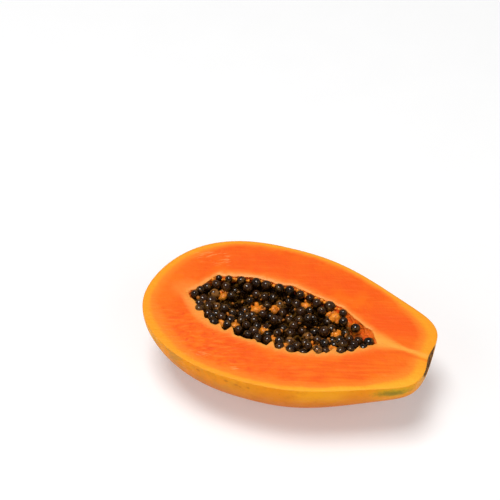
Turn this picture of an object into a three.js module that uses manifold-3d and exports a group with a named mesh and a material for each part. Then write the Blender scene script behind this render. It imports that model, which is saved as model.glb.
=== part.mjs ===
// Half of a ripe papaya, cut lengthwise through its middle, lying on its belly with the cut face up.
// Millimetres, +Z up. +X runs along the fruit to the stem end and +Y to the far side of the cut face.
// The origin is under the middle of the half, on the surface that it rests on.
// Two pieces: the fruit half, which is skin, flesh and pulp grown as one, and the seeds in its cavity.
import * as THREE from 'three';
import { mergeVertices } from 'three/addons/utils/BufferGeometryUtils.js';
import Module from 'manifold-3d';

const wasm = await Module();
wasm.setup();

// Fruit body, driving dimensions
const WIDEST_X = -16.5; // where the half is widest
const TO_BLOSSOM = 82.1; // from there to the blossom end
const TO_STEM = 115.4; // and to the stem end
const FRUIT_FROM = WIDEST_X - TO_BLOSSOM;
const FRUIT_TO = WIDEST_X + TO_STEM;
const HALF_WIDTH = 59.7; // half of the greatest width
const DEPTH = 59.7; // from the cut face to the belly, before the foot is flattened
const DEPTH_SLOPE = 0.0007; // the half is deeper towards the stem, by this share a millimetre
const RIDGE = 0.012; // height of the five faint ridges, as a share of the radius
const FOOT_CUT = 1.3; // how much the belly is flattened where the half rests
const CUT_Z = DEPTH * (1 + RIDGE) - FOOT_CUT; // height of the cut face

// Outline of the cut face
const BLOSSOM_FULLNESS = 2.3; // how round the blossom end is
const NECK_SHARE = 0.53; // width towards the stem, as a share of the greatest width
const NECK_START = 1.35; // a larger number keeps the belly full for longer
const STEM_BLUNTNESS = 14; // a larger number makes the stem end flatter
const STEM_ROUNDING = 0.34; // and this the rounding of its corner
const BLOSSOM_BOW = -6; // how far the tip of the blossom end bends to the near side
const BLOSSOM_BOW_POWER = 6;
const STEM_BOW = -3;
const STEM_BOW_POWER = 3;
const STEM_SKEW = 0.08; // slant of the stem end
const SCAR_DEPTH = 2.6; // hollow where the stalk came off
const SCAR_RADIUS = 11;

// Seed cavity
const CAVITY_WIDEST_X = -1.4;
const CAVITY_TO_BLOSSOM = 69.7;
const CAVITY_TO_STEM = 63.4;
const CAVITY_FROM = CAVITY_WIDEST_X - CAVITY_TO_BLOSSOM;
const CAVITY_TO = CAVITY_WIDEST_X + CAVITY_TO_STEM;
const CAVITY_HALF_WIDTH = 27.5;
const CAVITY_DEPTH = 26;
const CAVITY_SHIFT = -0.75;
const CAVITY_SWAY = -2.9; // its middle line winds from the far side to the near side
const CAVITY_SWAY_LENGTH = 170;
const CAVITY_SWAY_START = 5;
const CAVITY_RIDGE = 0.03;

// Seeds
const SEED_RADIUS = 3.05;
const SEED_STRETCH = 1.14; // length of a seed over its width
const SEED_COUNT = 145; // seeds that lie on top
const SEED_GAP = 6.4; // distance that they settle to
const SETTLE_ROUNDS = 60;
const SEED_INSET = 2.8; // from the cavity wall to a seed's middle
const SEED_LIFT = 1.2; // how far a seed may lie above or below its neighbours
const BARE_START = 34; // from here to the stem the far wall of the cavity is bare
const BARE_RATE = 0.05; // share of the width that is lost for each millimetre
const NEAR_DROP = 1.6; // depth of the seeds' middles under the cut face, at the near wall
const FAR_DROP = 4; // and at the far wall
const MIDDLE_SAG = 5.5; // how much deeper the seeds lie in the middle
const BED_DROP = 1; // the mass that holds the seeds starts this far under their middles
const SEED_DRAW = 7; // starts the row of random numbers
const CLEARANCE = 0.35; // between the seeds and the flesh

// Lobes of pulp that stand up between the seeds: x, y, radius
const PULP_LOBES = [
  [-49, 8, 3.2],
  [-24.5, 4.5, 4],
  [-12, 6.5, 2.8],
  [7, 16.5, 4],
  [29, 13, 4],
  [33.5, -1.5, 3],
  [-42, -17, 2.8],
  [-33, -14.5, 3],
  [-13.5, -14.5, 2.8],
  [-4.5, -18.5, 3],
  [4, -22, 2.8],
  [23, -16, 3.6],
  [36, -15, 3.2],
];
const LOBE_TAPER = 0.7; // top radius over root radius
const LOBE_RISE = 1.8; // top of a lobe over the middles of the seeds round it
const LOBE_SIDES = 7;

// How finely the surfaces are divided
const FRUIT_STATIONS = 42; // along the fruit, and as many along its cavity
const BED_STATIONS = 26; // along the mass that holds the seeds
const TURN_LENGTH = 14; // stations are closer where the outline turns: a radian counts as this
const SKIN_STEPS = 20; // round the belly
const FACE_STEPS = 2; // across the cut face
const CAVITY_STEPS = 12;
const BED_STEPS = 8;
const PROFILE_SAMPLES = 600;

const { clamp, lerp } = THREE.MathUtils;
const smooth = (s) => s * s * (3 - 2 * s);

// Half of the fruit's width at a place along it
function fruitHalfWidth(x) {
  if (x < WIDEST_X) {
    const share = Math.min(1, (WIDEST_X - x) / TO_BLOSSOM);
    return HALF_WIDTH * Math.sqrt(1 - share ** BLOSSOM_FULLNESS);
  }
  const share = Math.min(1, (x - WIDEST_X) / TO_STEM);
  const neck = 1 - (1 - NECK_SHARE) * smooth(share ** NECK_START);
  return HALF_WIDTH * neck * (1 - share ** STEM_BLUNTNESS) ** STEM_ROUNDING;
}

// The fruit's middle line, which bends a little at both ends
function fruitMiddle(x) {
  if (x < WIDEST_X) return BLOSSOM_BOW * ((WIDEST_X - x) / TO_BLOSSOM) ** BLOSSOM_BOW_POWER;
  return STEM_BOW * ((x - WIDEST_X) / TO_STEM) ** STEM_BOW_POWER;
}

function cavityHalfWidth(x) {
  if (x < CAVITY_WIDEST_X) {
    const share = Math.min(1, (CAVITY_WIDEST_X - x) / CAVITY_TO_BLOSSOM);
    return CAVITY_HALF_WIDTH * (1 - share ** 4);
  }
  const share = Math.min(1, (x - CAVITY_WIDEST_X) / CAVITY_TO_STEM);
  return CAVITY_HALF_WIDTH * (1 - share ** 1.5) ** 0.8;
}

function cavityMiddle(x) {
  const phase = (2 * Math.PI * (x - CAVITY_SWAY_START)) / CAVITY_SWAY_LENGTH;
  return CAVITY_SHIFT + CAVITY_SWAY * Math.sin(phase);
}

// A point of the skin. Angle 0 is the far rim, a half turn is the near rim.
function skinPoint(x, angle) {
  const radius = fruitHalfWidth(x) * (1 + RIDGE * Math.sin(5 * angle));
  const across = radius * Math.cos(angle);
  const depthShare = (DEPTH / HALF_WIDTH) * (1 + DEPTH_SLOPE * x);
  const down = radius * Math.sin(angle) * depthShare;
  const towardsStem = Math.max(0, (x - WIDEST_X) / TO_STEM) ** 8;
  const scar = SCAR_DEPTH * Math.exp(-((across ** 2 + down ** 2) / SCAR_RADIUS ** 2));
  return new THREE.Vector3(
    x + towardsStem * (STEM_SKEW * across - scar),
    fruitMiddle(x) + across,
    CUT_Z - down,
  );
}

function cavityPoint(x, angle) {
  const ridge = 1 + CAVITY_RIDGE * Math.sin(5 * angle) * Math.sin(angle);
  const ridged = cavityHalfWidth(x) * ridge;
  const down = (ridged * Math.sin(angle) * CAVITY_DEPTH) / CAVITY_HALF_WIDTH;
  return new THREE.Vector3(x, cavityMiddle(x) + ridged * Math.cos(angle), CUT_Z - down);
}

// Places along x that are evenly apart on the outline, and closer together where it turns
function evenStations(halfWidth, from, to, count) {
  const samples = [{ x: from, length: 0 }];
  let heading = Math.PI / 2;
  for (let k = 1; k <= PROFILE_SAMPLES; k++) {
    const last = samples.at(-1);
    const x = lerp(from, to, (1 - Math.cos((Math.PI * k) / PROFILE_SAMPLES)) / 2);
    const rise = halfWidth(x) - halfWidth(last.x);
    const turn = Math.abs(Math.atan2(rise, x - last.x) - heading);
    heading = Math.atan2(rise, x - last.x);
    samples.push({ x, length: last.length + Math.hypot(x - last.x, rise) + TURN_LENGTH * turn });
  }
  const whole = samples.at(-1).length;
  return Array.from({ length: count + 1 }, (_, i) => {
    const wanted = (whole * i) / count;
    const k = clamp(samples.findIndex((s) => s.length >= wanted - 1e-9), 1, PROFILE_SAMPLES);
    const [a, b] = [samples[k - 1], samples[k]];
    return lerp(a.x, b.x, (wanted - a.length) / (b.length - a.length));
  });
}

// Triangles between neighbouring rows of points, without those that shrink to nothing at a tip
function joinRows(rows) {
  const corners = [];
  const add = (...triangle) => {
    const [a, b, c] = triangle;
    if (a.distanceTo(b) < 1e-4 || b.distanceTo(c) < 1e-4 || c.distanceTo(a) < 1e-4) return;
    corners.push(...triangle);
  };
  for (let i = 1; i < rows.length; i++) {
    for (let j = 1; j < rows[i].length; j++) {
      add(rows[i - 1][j - 1], rows[i - 1][j], rows[i][j]);
      add(rows[i - 1][j - 1], rows[i][j], rows[i][j - 1]);
    }
  }
  return corners;
}

const reversed = (rows) => rows.map((row) => [...row].reverse());

function solidFromGeometry(geometry) {
  const bare = geometry.clone();
  bare.deleteAttribute('normal');
  bare.deleteAttribute('uv');
  const merged = mergeVertices(bare, 1e-3);
  return new wasm.Manifold(
    new wasm.Mesh({
      numProp: 3,
      vertProperties: merged.attributes.position.array,
      triVerts: new Uint32Array(merged.index.array),
    }),
  );
}

function geometryFromSolid(solid) {
  const { vertProperties, triVerts } = solid.getMesh();
  const geometry = new THREE.BufferGeometry();
  geometry.setAttribute('position', new THREE.BufferAttribute(vertProperties, 3));
  geometry.setIndex(new THREE.BufferAttribute(triVerts, 1));
  return geometry;
}

function solidFromCorners(corners) {
  return solidFromGeometry(new THREE.BufferGeometry().setFromPoints(corners));
}

// The solid's outer surface alone, without pockets sealed inside it and without loose scraps
function outerShell(solid) {
  const whole = solidFromGeometry(geometryFromSolid(solid));
  const { vertProperties, triVerts } = whole.getMesh();
  const parent = Array.from({ length: vertProperties.length / 3 }, (_, i) => i);
  const rootOf = (i) => (parent[i] === i ? i : (parent[i] = rootOf(parent[i])));
  for (let t = 0; t < triVerts.length; t += 3) {
    parent[rootOf(triVerts[t])] = rootOf(triVerts[t + 1]);
    parent[rootOf(triVerts[t + 2])] = rootOf(triVerts[t + 1]);
  }
  const shells = new Map();
  for (let t = 0; t < triVerts.length; t += 3) {
    const root = rootOf(triVerts[t]);
    if (!shells.has(root)) shells.set(root, []);
    shells.get(root).push(...triVerts.slice(t, t + 3));
  }
  const largest = [...shells.values()].reduce((a, b) => (b.length > a.length ? b : a));
  return new wasm.Manifold(
    new wasm.Mesh({ numProp: 3, vertProperties, triVerts: new Uint32Array(largest) }),
  );
}

function meshFromSolid(solid, name, material) {
  const geometry = geometryFromSolid(solid);
  geometry.computeVertexNormals();
  const mesh = new THREE.Mesh(geometry, material);
  mesh.name = name;
  return mesh;
}

const angles = (steps) => Array.from({ length: steps + 1 }, (_, j) => (Math.PI * j) / steps);

// The rim of a surface as one closed ring: along its far side, and back along its near side
function rimOf(rows) {
  const far = rows.map((row) => row[0]);
  const near = rows.map((row) => row.at(-1)).reverse();
  return [...far, ...near.slice(1)];
}

// Skin, cut face and cavity wall as one closed body
function fruitBody() {
  const alongFruit = evenStations(fruitHalfWidth, FRUIT_FROM, FRUIT_TO, FRUIT_STATIONS);
  const alongCavity = evenStations(cavityHalfWidth, CAVITY_FROM, CAVITY_TO, FRUIT_STATIONS);
  const skin = alongFruit.map((x) => angles(SKIN_STEPS).map((a) => skinPoint(x, a)));
  const cavity = alongCavity.map((x) => angles(CAVITY_STEPS).map((a) => cavityPoint(x, a)));
  const [outer, inner] = [rimOf(skin), rimOf(cavity)];
  const face = [];
  for (let k = 0; k <= FACE_STEPS; k++) {
    face.push(outer.map((p, i) => p.clone().lerp(inner[i], k / FACE_STEPS)));
  }
  return solidFromCorners([
    ...joinRows(reversed(skin)),
    ...joinRows(reversed(face)),
    ...joinRows(cavity),
  ]);
}

// Depth of the seeds' middles under the cut face. Side runs from -1, near wall, to 1, far wall.
function seedDepth(x, side) {
  const width = cavityHalfWidth(x) / CAVITY_HALF_WIDTH;
  const rim = lerp(NEAR_DROP, FAR_DROP, (side + 1) / 2);
  return width * (rim + MIDDLE_SAG * (1 - side ** 2)) + (1 - width) * NEAR_DROP;
}

// A repeatable row of random numbers from 0 to 1
function makeRandom(seed) {
  let state = seed;
  return () => {
    state = (Math.imul(state, 1664525) + 1013904223) >>> 0;
    return state / 4294967296;
  };
}

// Keeps a seed inside the cavity, and off the bare wall near the stem
function keepInside(seed) {
  seed.x = clamp(seed.x, CAVITY_FROM + SEED_INSET, CAVITY_TO - SEED_INSET);
  const room = Math.max(0, cavityHalfWidth(seed.x) - SEED_INSET);
  const reach = Math.min(1, 1 - (seed.x - BARE_START) * BARE_RATE);
  const middle = cavityMiddle(seed.x);
  seed.y = clamp(seed.y, middle - room, middle + room * reach);
}

// Moves a seed half of the way out of the space that another one needs
function push(seed, x, y, gap) {
  const distance = Math.hypot(seed.x - x, seed.y - y);
  if (distance === 0 || distance >= gap) return;
  const move = (gap - distance) / (2 * distance);
  seed.x += (seed.x - x) * move;
  seed.y += (seed.y - y) * move;
}

// Where the top seeds lie: strewn over the cavity, then settled until they lie side by side
function seedPlaces() {
  const random = makeRandom(SEED_DRAW);
  const seeds = [];
  while (seeds.length < SEED_COUNT) {
    const x = lerp(CAVITY_FROM, CAVITY_TO, random());
    const y = CAVITY_HALF_WIDTH * (2 * random() - 1);
    const lift = SEED_LIFT * (2 * random() - 1);
    const turn = 2 * Math.PI * random();
    if (Math.abs(y - cavityMiddle(x)) < cavityHalfWidth(x)) seeds.push({ x, y, lift, turn });
  }
  for (let round = 0; round < SETTLE_ROUNDS; round++) {
    for (const seed of seeds) {
      for (const other of seeds) push(seed, other.x, other.y, SEED_GAP);
      for (const [x, y, radius] of PULP_LOBES) push(seed, x, y, radius + SEED_RADIUS * 0.7);
      keepInside(seed);
    }
  }
  return seeds;
}

function seedSolid({ x, y, lift, turn }) {
  const side = (y - cavityMiddle(x)) / cavityHalfWidth(x);
  const geometry = new THREE.IcosahedronGeometry(SEED_RADIUS);
  geometry.scale(SEED_STRETCH, 1, 1);
  geometry.rotateY(turn / 3);
  geometry.rotateZ(turn);
  geometry.translate(x, y, CUT_Z - seedDepth(x, side) + lift);
  return solidFromGeometry(geometry);
}

// A body between an upper and a lower surface that share their outline seen from above
function bodyBetween(over, under) {
  return solidFromCorners([
    ...joinRows(over),
    ...joinRows(reversed(under)),
    ...joinRows([rimOf(over), rimOf(under)]),
  ]);
}

const atHeight = (rows, z) => rows.map((row) => row.map((p) => p.clone().setZ(z)));

// Rows of points over the cavity, each point made by a function of its place along and its angle
function rowsOverCavity(point) {
  return evenStations(cavityHalfWidth, CAVITY_FROM, CAVITY_TO, BED_STATIONS).map((x) =>
    angles(BED_STEPS).map((a) => point(x, a)),
  );
}

// The packed mass under the top seeds, which they stand out of
function seedBed() {
  const top = rowsOverCavity((x, a) => {
    const y = cavityMiddle(x) + cavityHalfWidth(x) * Math.cos(a);
    return new THREE.Vector3(x, y, CUT_Z - seedDepth(x, Math.cos(a)) - BED_DROP);
  });
  return bodyBetween(top, atHeight(top, CUT_Z - 1.2 * CAVITY_DEPTH));
}

// The room that the seeds may fill: the cavity, a little smaller all round and open upwards
function seedRoom() {
  const centre = new THREE.Vector3(CAVITY_WIDEST_X, cavityMiddle(CAVITY_WIDEST_X), CUT_Z);
  const wall = rowsOverCavity((x, a) => cavityPoint(x, a).lerp(centre, CLEARANCE / CAVITY_DEPTH));
  return bodyBetween(atHeight(wall, CUT_Z + SEED_RADIUS * 2), wall);
}

// A tapered lobe of pulp, from inside the cavity wall to a little above the seeds
function lobeSolid([x, y, radius], grow = 0) {
  const halfWidth = cavityHalfWidth(x);
  const side = (y - cavityMiddle(x)) / halfWidth;
  const wall = CUT_Z - CAVITY_DEPTH * (halfWidth / CAVITY_HALF_WIDTH) * Math.sqrt(1 - side ** 2);
  const top = CUT_Z - seedDepth(x, side) + LOBE_RISE + grow;
  const root = wall - 3;
  const geometry = new THREE.CylinderGeometry(
    radius * LOBE_TAPER + grow,
    radius + grow,
    top - root,
    LOBE_SIDES,
  );
  geometry.rotateX(Math.PI / 2);
  geometry.translate(x, y, (top + root) / 2);
  return solidFromGeometry(geometry);
}

// What is trimmed off the belly, so that the half rests on a small flat spot
function underFoot() {
  const geometry = new THREE.BoxGeometry(4 * HALF_WIDTH, 2 * HALF_WIDTH, DEPTH);
  geometry.translate(0, 0, -DEPTH / 2);
  return solidFromGeometry(geometry);
}

const joined = (solids) => wasm.Manifold.union(solids);

const fleshMaterial = new THREE.MeshStandardMaterial({ color: 0xf77a1c, roughness: 0.45, metalness: 0 });
const seedMaterial = new THREE.MeshStandardMaterial({ color: 0x16130f, roughness: 0.2, metalness: 0 });

const fruit = joined([fruitBody(), ...PULP_LOBES.map((lobe) => lobeSolid(lobe))]).subtract(
  underFoot(),
);
const heap = joined([seedBed(), ...seedPlaces().map(seedSolid)])
  .intersect(seedRoom())
  .subtract(joined(PULP_LOBES.map((lobe) => lobeSolid(lobe, CLEARANCE))));
const seeds = outerShell(heap);

const papayaHalf = new THREE.Group();
papayaHalf.add(meshFromSolid(fruit, 'fruit_half', fleshMaterial));
papayaHalf.add(meshFromSolid(seeds, 'seeds', seedMaterial));

export default papayaHalf;
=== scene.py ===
import math
from types import SimpleNamespace

import bmesh
import bpy
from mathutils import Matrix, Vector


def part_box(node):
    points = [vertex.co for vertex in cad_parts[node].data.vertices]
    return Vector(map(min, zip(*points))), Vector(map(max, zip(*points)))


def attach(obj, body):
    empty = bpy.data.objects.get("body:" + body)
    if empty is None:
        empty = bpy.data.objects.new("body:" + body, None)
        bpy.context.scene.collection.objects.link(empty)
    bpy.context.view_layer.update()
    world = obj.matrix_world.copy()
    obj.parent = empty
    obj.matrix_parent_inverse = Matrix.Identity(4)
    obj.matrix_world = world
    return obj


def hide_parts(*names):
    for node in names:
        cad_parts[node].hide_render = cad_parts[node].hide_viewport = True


# Half of a ripe papaya, cut lengthwise and lying on its belly with the cut face up.
# Forms are worked out in millimetres, by the rules of the solids but finer, and become metres last of all.
# +X runs to the stem end, +Y to the far side of the cut face and +Z up.

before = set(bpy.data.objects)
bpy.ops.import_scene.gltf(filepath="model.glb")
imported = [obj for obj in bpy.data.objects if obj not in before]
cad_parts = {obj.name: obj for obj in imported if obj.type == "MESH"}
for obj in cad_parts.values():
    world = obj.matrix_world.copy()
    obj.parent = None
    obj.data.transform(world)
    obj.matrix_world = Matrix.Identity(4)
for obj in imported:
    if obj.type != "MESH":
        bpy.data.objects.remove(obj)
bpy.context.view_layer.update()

MM = 0.001
CUT_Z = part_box("fruit_half")[1].z / MM  # height of the cut face
SEEDS_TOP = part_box("seeds")[1].z / MM

# The fruit, in millimetres
FRUIT = SimpleNamespace(
    widest_x=-16.5,
    to_blossom=82.1,
    to_stem=115.4,
    half_width=59.7,
    depth=59.7,
    depth_slope=0.0007,
    ridge=0.012,
    blossom_fullness=2.3,
    neck_share=0.53,
    neck_start=1.35,
    stem_bluntness=14,
    stem_rounding=0.34,
    blossom_bow=-6,
    stem_bow=-3,
    stem_skew=0.08,
    scar_depth=2.6,
    scar_radius=11,
)
CAVITY = SimpleNamespace(
    widest_x=-1.4,
    to_blossom=69.7,
    to_stem=63.4,
    half_width=27.5,
    depth=26,
    shift=-0.75,
    sway=-2.9,
    sway_length=170,
    sway_start=5,
    ridge=0.03,
)
RELIEF = SimpleNamespace(
    waves=0.35,
    lip=0.6,
    lip_width=1.1,
    skin_lip=0.12,
    skin_lip_width=0.5,
    ragged=2.6,
    ragged_width=2.4,
    lobe_width=2.2,
    far_width=7,
    far_lean=2.7,
    far_bay=2.8,
)
# How finely the sheets of the fruit and of the seed bed are divided
STATIONS, SKIN_STEPS, FACE_STEPS, WALL_STEPS = 190, 90, 34, 44
BED_STATIONS, BED_STEPS = 110, 44
SAME_PLACE, SAME_PLACE_LAST = 0.003, 0.002  # points closer than this become one, first and last
NOISE_TOP = 0.62  # few values of a random pattern are higher, so that the waves lie under the cut face

# Seeds on top, settled round the big ones by the same rule as in the solids
SEED = SimpleNamespace(radius=3.05, stretch=1.12, flat=0.95, taper=0.1, lump=0.3)
SEED_LUMP_SIZE, SEED_TIP = 3.2, 1.15  # the tip is how far a seed reaches from its middle, in radii
SEED_COUNT, SEED_GAP, SETTLE_ROUNDS = 84, 6.5, 60
SEED_INSET, SEED_LIFT = 2.8, 1.2
BIG_SEED_ROOM = 4.6  # a settled seed with its middle closer than this to a big one's is left out
LOBE_ROOM = 0.75  # how close seeds lie to the pulp, in seed radii
BARE_START, BARE_RATE = 34, 0.05  # where the far wall begins to be bare, and how fast the seeds leave it
NEAR_DROP, FAR_DROP, MIDDLE_SAG = 1.6, 4, 5.5
SEED_DRAW, HEAP_DRAW, SHRED_DRAW = 7, 31, 5
# Painted shade: low tones make the deep seeds darker and less shiny
SHOWN_TONE = 0.15  # seeds of lower tones lie deep and are made more coarsely
SUNK_SHARE, SUNK_DROP, FAR_WALL_RISE = 0.1, 2.8, 2
LAYER_DROP, HIDDEN_TRENCH_DROP = 2.6, 3
LAYER_SHARE, FILLING_SHARE, SHRED_SHARE = 0.88, 0.86, 0.93  # of the cavity's width
FILLING = SimpleNamespace(
    columns=26, rows=10, first_x=-66, first_y=-25, gap_x=4.6, gap_y=5, stray=2, drop=3.4
)
BED = SimpleNamespace(drop=3.4, lump=2.2, width=0.97, bottom=0.94, sag=2)
BED_LUMP_SIZE, LEAST_WIDTH = 4, 0.01

# The trench between the seeds: the points x, y that it runs through, its stretch along x, reach and edge
TRENCH = [(-47, 4), (-38, 2), (-30, 1), (-21, 4), (-10, 6), (0, 7), (12, 7), (20, 3.6)]
TRENCH_STRETCH, TRENCH_REACH, TRENCH_EDGE, TRENCH_DROP = 1.4, 4.4, 2.6, 4.5

# Big black seeds that stand out, under the far rim and along the near one: x, y, size
BIG_SEEDS = [
    (-66.4, 0.5, 0.95),
    (-64, 5.6, 0.95),
    (-60.6, 9.8, 0.96),
    (-55.6, 13.9, 1.08),
    (-55.4, 19.2, 0.8),
    (-48.5, 20.4, 0.9),
    (-39.8, 22.2, 0.98),
    (-30, 23.6, 1.18),
    (-22.6, 23.8, 1.1),
    (-13.4, 23.8, 1.16),
    (-6, 24.2, 1.12),
    (2, 22.6, 1),
    (9, 22, 0.92),
    (14.7, 19.2, 1.08),
    (23.9, 19.6, 1.2),
    (34, 15.6, 0.95),
    (36, 9, 1.1),
    (44.9, 6, 1.1),
    (56.2, -2.6, 1.2),
    (19.6, 14, 1),
    (-34, 17.8, 1),
    (-60.7, -5.6, 0.9),
    (-48.8, -14.6, 1),
    (-37, -17, 1),
    (-28.4, -18.9, 0.92),
    (-21.4, -20.8, 0.92),
    (-14.4, -21.2, 1.08),
    (-8, -20.7, 1.06),
    (0.2, -19.6, 0.96),
    (12, -19.8, 0.98),
    (19.2, -18, 0.96),
    (29, -12.6, 1.16),
    (40.9, -9.5, 1),
    (47.4, -7.6, 1),
    (26.1, -2.4, 1.15),
    (12.9, 4, 1.06),
    (-8.3, -3.4, 1.06),
    (-17.2, -1.4, 0.9),
    (-25, -12.9, 0.9),
]
# Where the far rim leans in over the seeds, and where the rims give way at the bare wall and at the tip
LEAN_START, LEAN_RISE, LEAN_END, LEAN_FALL = -66, 14, 14, 24
BAY_START, BAY_RISE = 12, 18
TIP_START, TIP_RISE = 46, 16
# Where the far rim bulges outwards, or inwards if less than 0: x, half of the width, reach
FAR_BULGES = [
    (-67, 3.5, -2.4),
    (-56.5, 4, 4.2),
    (-49.5, 3, 1.4),
    (-4.5, 5, 1.6),
    (34, 4, 1),
    (56, 3, 1),
]
# Lobes of flesh that reach in from the near rim: x, half of the width, reach
NEAR_LOBES = [
    (-63.5, 3, 3),
    (-56.5, 3, 3.6),
    (-50, 1.6, 1.6),
    (-41.5, 1.8, 3.6),
    (-33, 2, 5),
    (-15.5, 1.5, 1.8),
    (-3.5, 2, 5),
    (4.5, 2.2, 3.4),
    (14, 1.5, 1.5),
    (23.5, 2.2, 4),
    (30.5, 1.3, 2),
    (36, 2.3, 4.2),
    (45.5, 1.6, 2.2),
    (51.5, 2, 3),
]

# Lobes of pulp that stand up between the seeds: x, y, radius
PULP_LOBES = [
    (-49, 10, 3.2),
    (-24.5, 7.8, 4),
    (-12.5, 9.8, 2.8),
    (7, 18, 4),
    (29, 13.5, 4.2),
    (34.5, 0.5, 3),
    (-42, -16, 2.8),
    (-33, -13, 3),
    (-14, -12, 2.8),
    (-4.5, -17, 3),
    (4, -21.5, 2.8),
    (23, -15, 3.6),
    (36, -14.5, 3.2),
]
LOBE_RISE, LOBE_SCRAPS = 1.8, 7
BARE_WALL_SHREDS, FAR_RIM_SHREDS = 9, 46
PULP = SimpleNamespace(radius=1, stretch=1.3, flat=0.7, taper=0.25, lump=0.8)
PULP_LUMP_SIZE = 2.6

# Marks on the skin: x, y, z, radius
SPECKS = [
    (-43.3, -57.5, 55.6, 0.9),
    (-23.5, -59.7, 54.9, 0.8),
    (-16.6, -59.8, 53.6, 0.9),
    (-8.5, -59.7, 53.8, 0.7),
    (-14, -59.5, 52.5, 0.6),
    (91, -28.6, 53.2, 1.3),
]
# Marks that the knife left on the cut face
SCRATCHED = [  # place, reach and turn
    ((-64, 35.5, CUT_Z), (13, 6.5, 9), 34),
    ((-45.5, -46.6, CUT_Z), (6.5, 2.6, 9), 8),
    ((-22, -50.8, CUT_Z), (4.5, 1.6, 9), 18),
]
RED_SPOTS, RED_REACH = [(-41, -41, CUT_Z), (-23.5, -46.2, CUT_Z)], (3.2, 1.3, 4)
# Redder parts of the flesh: place, reach, strength, and the colour as a screen shows it
REDDER = [
    ((74, 17, CUT_Z), (24, 10, 9), 0.7, (250, 84, 14)),
    ((-18, 40, CUT_Z), (62, 11, 9), 0.6, (250, 86, 12)),
]
CAVITY_TIP, TIP_REACH = (-73, 2, CUT_Z), (9, 7, 9)
GREEN_PATCH, GREEN_REACH = (84, -35, 55), (12, 7, 4.5)
GREEN_CORE, GREEN_CORE_REACH = (81, -36, 53.4), (10, 6, 2.8)
STEM_SCAR, SCAR_REACH = (97.5, -5, CUT_Z), (9, 12, 12)
PORE_GAP, SOCKET_GAP = 3.1, 4.2

# Camera
VIEW_AZIMUTH, VIEW_ELEVATION = 18, 48
CAMERA_SPOT = (128.6, -477.7, CUT_Z + 615.2)
LENS, SENSOR_WIDTH = 85, 36

# Floor and light, in metres and watts
FLOOR_REACH, FLOOR_GLOW, WORLD_STRENGTH = 8, 0.2, 0.22
LIGHTS = [  # name, spot, size, power, and whether wet things mirror it
    ("key", (-0.3, -0.25, 2.48), 0.9, 41, True),
    ("left fill", (-1.75, -1.75, 1.5), 2.4, 18, False),
    ("right fill", (2, -1, 1.5), 2.4, 16, False),
]


def either(operation, number_rule):
    """A function of numbers or of node values, for the rules of the forms."""
    def apply(*values):
        nodes = next((v.nodes for v in values if isinstance(v, Value)), None)
        return nodes.maths(operation, *values) if nodes else number_rule(*values)
    return apply


class Value:
    """What one socket gives. Maths on it is written as Python and adds its nodes."""

    def __init__(self, nodes, socket):
        self.nodes, self.socket = nodes, socket

    def __add__(self, other):
        return self.nodes.maths("ADD", self, other)

    def __sub__(self, other):
        return self.nodes.maths("SUBTRACT", self, other)

    def __rsub__(self, other):
        return self.nodes.maths("SUBTRACT", other, self)

    def __mul__(self, other):
        return self.nodes.maths("MULTIPLY", self, other)

    def __truediv__(self, other):
        return self.nodes.maths("DIVIDE", self, other)

    def __pow__(self, other):
        return self.nodes.maths("POWER", self, other)

    def __rpow__(self, other):
        return self.nodes.maths("POWER", other, self)

    __radd__, __rmul__ = __add__, __mul__


sine = either("SINE", math.sin)
cosine = either("COSINE", math.cos)
larger = either("MAXIMUM", max)
smaller = either("MINIMUM", min)


class Nodes:
    """A node tree, for a form or for a finish."""

    def __init__(self, tree):
        self.tree = tree

    def add(self, kind, settings=None, inputs=None, output=0):
        """Adds one node: its settings first, then the values or links of its sockets."""
        node = self.tree.nodes.new(kind)
        for name, value in (settings or {}).items():
            setattr(node, name, value)
        for name, value in (inputs or {}).items():
            for each in value if isinstance(value, list) else [value]:
                if isinstance(each, Value):
                    self.tree.links.new(each.socket, node.inputs[name])
                else:
                    node.inputs[name].default_value = each
        return Value(self, node.outputs[output])

    def maths(self, operation, *values):
        """One operation on numbers, of which some are node values."""
        return self.add("ShaderNodeMath", {"operation": operation}, dict(enumerate(values)))

    def vector(self, operation, *values, **others):
        """One operation on vectors. A length comes out as a number."""
        inputs = {**dict(enumerate(values)), **others}
        output = "Value" if operation == "LENGTH" else "Vector"
        return self.add("ShaderNodeVectorMath", {"operation": operation}, inputs, output)

    def point(self, x, y, z):
        return self.add("ShaderNodeCombineXYZ", None, {0: x, 1: y, 2: z})

    def parts(self, vector):
        """The x, y and z of a vector."""
        return [self.add("ShaderNodeSeparateXYZ", None, {0: vector}, axis) for axis in range(3)]

    def step(self, value, low, high):
        """From 0, where the value is low, by a smooth way to 1, where it is high."""
        ends = {0: value, 1: low, 2: high}
        return self.add("ShaderNodeMapRange", {"interpolation_type": "SMOOTHSTEP"}, ends)

    def grain(self, place, size, detail, roughness=0.5, output=0):
        """Random pattern about 0.5, with grains of about the given size in the place's own units."""
        inputs = {"Scale": 1 / size, "Detail": detail, "Roughness": roughness}
        return self.add("ShaderNodeTexNoise", None, {"Vector": place, **inputs}, output)


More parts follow.
